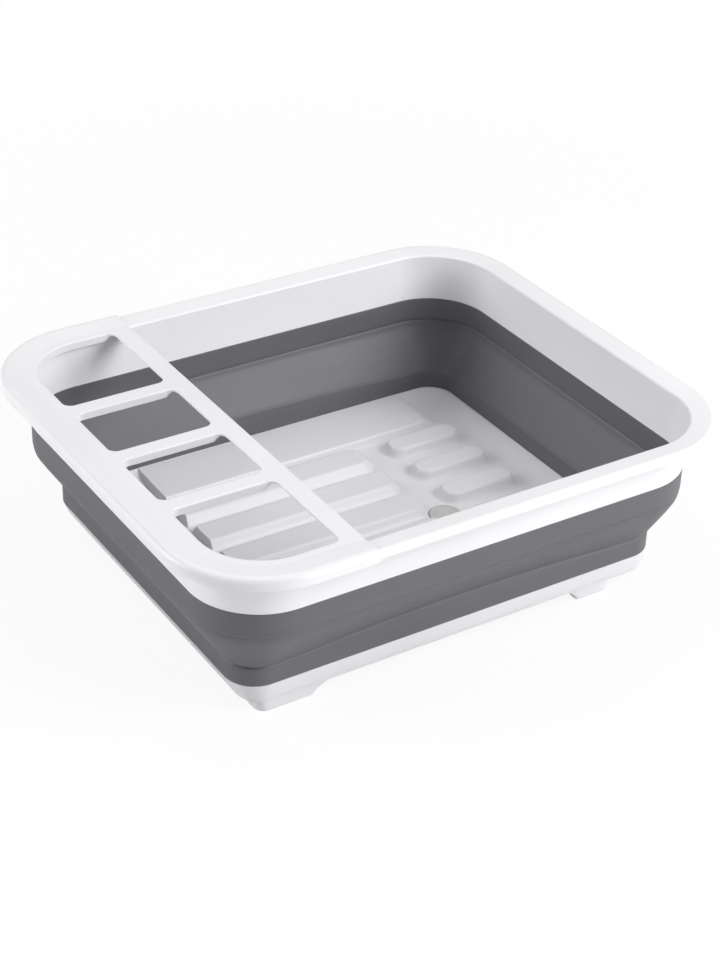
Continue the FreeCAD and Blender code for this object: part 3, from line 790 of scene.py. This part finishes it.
def dishHeight(spec, x, y):
    halfX, halfY, radius = (side - spec["wall"] for side in spec["outline"])
    depth = boxDepth(x, y, (-halfX, halfX, -halfY, halfY), (radius,) * 4)
    away = max(1 - depth / spec["dishReach"], 0)
    rise = spec["dishTop"] - spec["floor"]
    return spec["floor"] + min(rise * away ** spec["dishCurve"], rise + spec["dishOver"])


def trayHeight(spec, x, y):
    height = dishHeight(spec, x, y)
    row = min(spec["rows"], key=lambda spot: abs(spot - y))
    for values in spec["raised"]:
        left, right, corner, leftCorner = (values[key] for key in ("left", "right", "corner", "leftCorner"))
        box = (left - values["runOn"], right, row - values["half"], row + values["half"])
        depth = boxDepth(x, y, box, (leftCorner, corner, corner, leftCorner))
        up = spec["ribHeight"] * softRamp(depth / values["flank"], *spec["ribRound"])
        if values["runOn"]:
            up *= softRamp((x - left) / spec["endFlank"], *spec["endRound"])
        height = max(height, spec["floor"] + up)
    ledge = spec["ledge"]
    stretch = ledge["stretch"]
    box = (-ledge["beyond"], ledge["right"] / stretch, ledge["edge"], ledge["beyond"])
    inward = boxDepth(x / stretch, abs(y), box, (0, ledge["corner"], 0, 0))
    share = softRamp(inward / spec["ledgeFlank"], *spec["ledgeRound"])
    share *= softRamp((x - ledge["left"]) / spec["endFlank"], *spec["endRound"])
    if share > 0:
        climb = max(abs(y) - ledge["edge"], 0) / spec["ledgeWidth"]
        up = spec["ledgeHeight"] + spec["ledgeRise"] * climb ** 2
        height = softMax(height, spec["floor"] + up * share, spec["ledgeBlend"] * share)
    return height


def gridLines(runs):
    lines = []
    for start, end, spacing in runs:
        count = max(round((end - start) / spacing), 1)
        lines += [start + (end - start) * number / count for number in range(count)]
    return lines + [runs[-1][1]]


def trimCorners(shape, outline, planes):
    # cuts a sheet to a rounded rectangle with planes that touch its corners
    halfX, halfY, radius = outline
    for quarter, (sideX, sideY) in enumerate(((1, 1), (-1, 1), (-1, -1), (1, -1))):
        centre = Vector((sideX * (halfX - radius), sideY * (halfY - radius), 0))
        for step in range(planes + 1):
            turn = math.pi / 2 * (quarter + step / planes)
            away = Vector((math.cos(turn), math.sin(turn), 0))
            bmesh.ops.bisect_plane(shape, geom=shape.verts[:] + shape.edges[:] + shape.faces[:], dist=1e-4,
                                   plane_co=centre + away * radius, plane_no=away, clear_outer=True)


def fromDrain(spec, point):
    return math.hypot(point.co.x - spec["drain"][0], point.co.y - spec["drain"][1])


def cutDrain(sheet, spec):
    # opens the sheet at the drain and fills up to a clean circle, whose points it gives back
    radius = spec["drainRing"]
    gone = [v for v in sheet.verts if fromDrain(spec, v) < radius + spec["drainGap"]]
    bmesh.ops.delete(sheet, geom=gone, context="VERTS")
    belt = radius + spec["drainBelt"]
    hole = [e for e in sheet.edges if e.is_boundary and fromDrain(spec, e.verts[0]) < belt]
    ring = bmesh.ops.create_circle(sheet, cap_ends=False, radius=radius, segments=spec["drainSegments"],
                                   matrix=Matrix.Translation(spec["drain"] + (0,)))["verts"]
    bmesh.ops.triangle_fill(sheet, use_beauty=True, use_dissolve=False, normal=(0, 0, 1),
                            edges=hole + ringEdges(ring))
    return ring


def addFloor(shape, spec):
    # works in mm until the sheet is done, and takes in the hole for the drain
    across = gridLines(spec["acrossRuns"])
    side = gridLines(spec["sideRuns"])
    upward = [-place for place in side[:0:-1]] + side
    sheet = bmesh.new()
    bmesh.ops.create_grid(sheet, x_segments=len(across) - 1, y_segments=len(upward) - 1, size=1)
    for point in sheet.verts:
        column = round((point.co.x + 1) / 2 * (len(across) - 1))
        row = round((point.co.y + 1) / 2 * (len(upward) - 1))
        point.co = (across[column], upward[row], 0)
    outline = [edge - spec["wall"] + spec["trimOverlap"] for edge in spec["outline"]]
    trimCorners(sheet, outline, spec["trimPlanes"])
    ring = cutDrain(sheet, spec)
    for point in sheet.verts:
        point.co.z = trayHeight(spec, point.co.x, point.co.y)
    for point in ring:
        point.co.z = spec["floor"]
    grown = bmesh.ops.extrude_face_region(sheet, geom=sheet.faces[:], use_keep_orig=True)["geom"]
    bmesh.ops.translate(sheet, vec=(0, 0, -spec["floorWall"]),
                        verts=[item for item in grown if isinstance(item, bmesh.types.BMVert)])
    bmesh.ops.translate(sheet, vec=(centreX, 0, 0), verts=sheet.verts)
    bmesh.ops.scale(sheet, vec=(mm, mm, mm), verts=sheet.verts)
    bmesh.ops.recalc_face_normals(sheet, faces=sheet.faces)
    carrier = bpy.data.meshes.new("trayFloor")
    sheet.to_mesh(carrier)
    sheet.free()
    shape.from_mesh(carrier)
    bpy.data.meshes.remove(carrier)


def addSkirt(shape, spec):
    halfX, halfY, corner = spec["outline"]
    rings = []
    for inward, height in roundedSection(spec["section"]):
        lean = spec["endDraft"] * ramp(spec["edge"] - height, (0, spec["edge"] - spec["stepHeight"]))
        rings.append(insetRing((halfX - lean, halfY, corner - lean), inward, height))
    stackRings(shape, rings, spec["cornerSteps"], closed=True)


def footLevels(spec):
    # down the outside, round the sole and up the core: height and how far inward
    sole, wall, edge = spec["footSole"], spec["footWall"], spec["soleEdge"]
    levels = [(height, 0) for height in spec["footOuter"] + (sole,)]
    return levels + quarterArc(sole) + [(edge, wall - edge)] + [(height, wall) for height in spec["footCore"]]


def addFoot(shape, spec, foot, side):
    front, depth = spec["footFront"], spec["footDepth"]
    rings = []
    for height, inward in footLevels(spec):
        grown = foot["spread"] * min(height / spec["footSpreadTop"], 1) ** 2
        box = [foot["left"] + inward, foot["right"] - inward, inward - front, depth - front - inward]
        radii = [max(spec["footEdge"] - inward, spec["coreEdge"])] * 4
        large = max(spec["footCorner"] - inward, spec["coreCorner"])
        if foot["inner"]:
            box[1] += grown
            radii[0] = large
        else:
            box[0] -= grown
            radii[1] = large
        if side > 0:
            box[2], box[3] = -box[3], -box[2]
            radii.reverse()
        rings.append((tuple(box), tuple(radii), height))
    stackRings(shape, rings, spec["footSteps"], capped=True)


def buildTray(spec):
    shape = bmesh.new()
    addSkirt(shape, spec)
    stackRings(shape, turnedRings(spec["drain"], spec["drainSection"]), spec["drainSteps"], closed=True)
    for foot in spec["feet"]:
        for side in (-1, 1):
            addFoot(shape, spec, foot, side)
    addFloor(shape, spec)
    tray = finishMesh(shape, "dishTray", whitePlastic("trayPlasticPaintedShade", spec["plastic"]), sharp=50)
    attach(tray, "base")
    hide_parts("base_tray")
    print("dish tray:", len(tray.data.polygons), "faces")


buildTray(traySpec)


# drain plug

plugSpec = {
    "rubber": {"dark": (0.52, 0.525, 0.505), "light": (0.57, 0.575, 0.555), "rough": 0.5},
    "place": (61.0, -16.0),
    "steps": 14,
    "section": (  # radius, height and rounding
        (0.01, 14.5),
        (7.9, 14.5, 0.3),
        (8.6, 15.2, 0.25),
        (10.3, 15.2, 0.5),
        (10.3, 13.25, 0.3),
        (7.4, 13.25, 0.2),
        (7.4, 6.2, 0.4),
        (5.65, 6.2, 0.4),
        (5.65, 13.25),
        (0.01, 13.25),
    ),
}


def buildPlug(spec):
    shape = bmesh.new()
    stackRings(shape, turnedRings(spec["place"], spec["section"]), spec["steps"], capped=True)
    plug = finishMesh(shape, "drainPlug", softGrey("plugRubber", spec["rubber"]))
    softShade(plug)
    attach(plug, "plug")
    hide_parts("drain_plug")
    print("drain plug:", len(plug.data.polygons), "faces")


buildPlug(plugSpec)
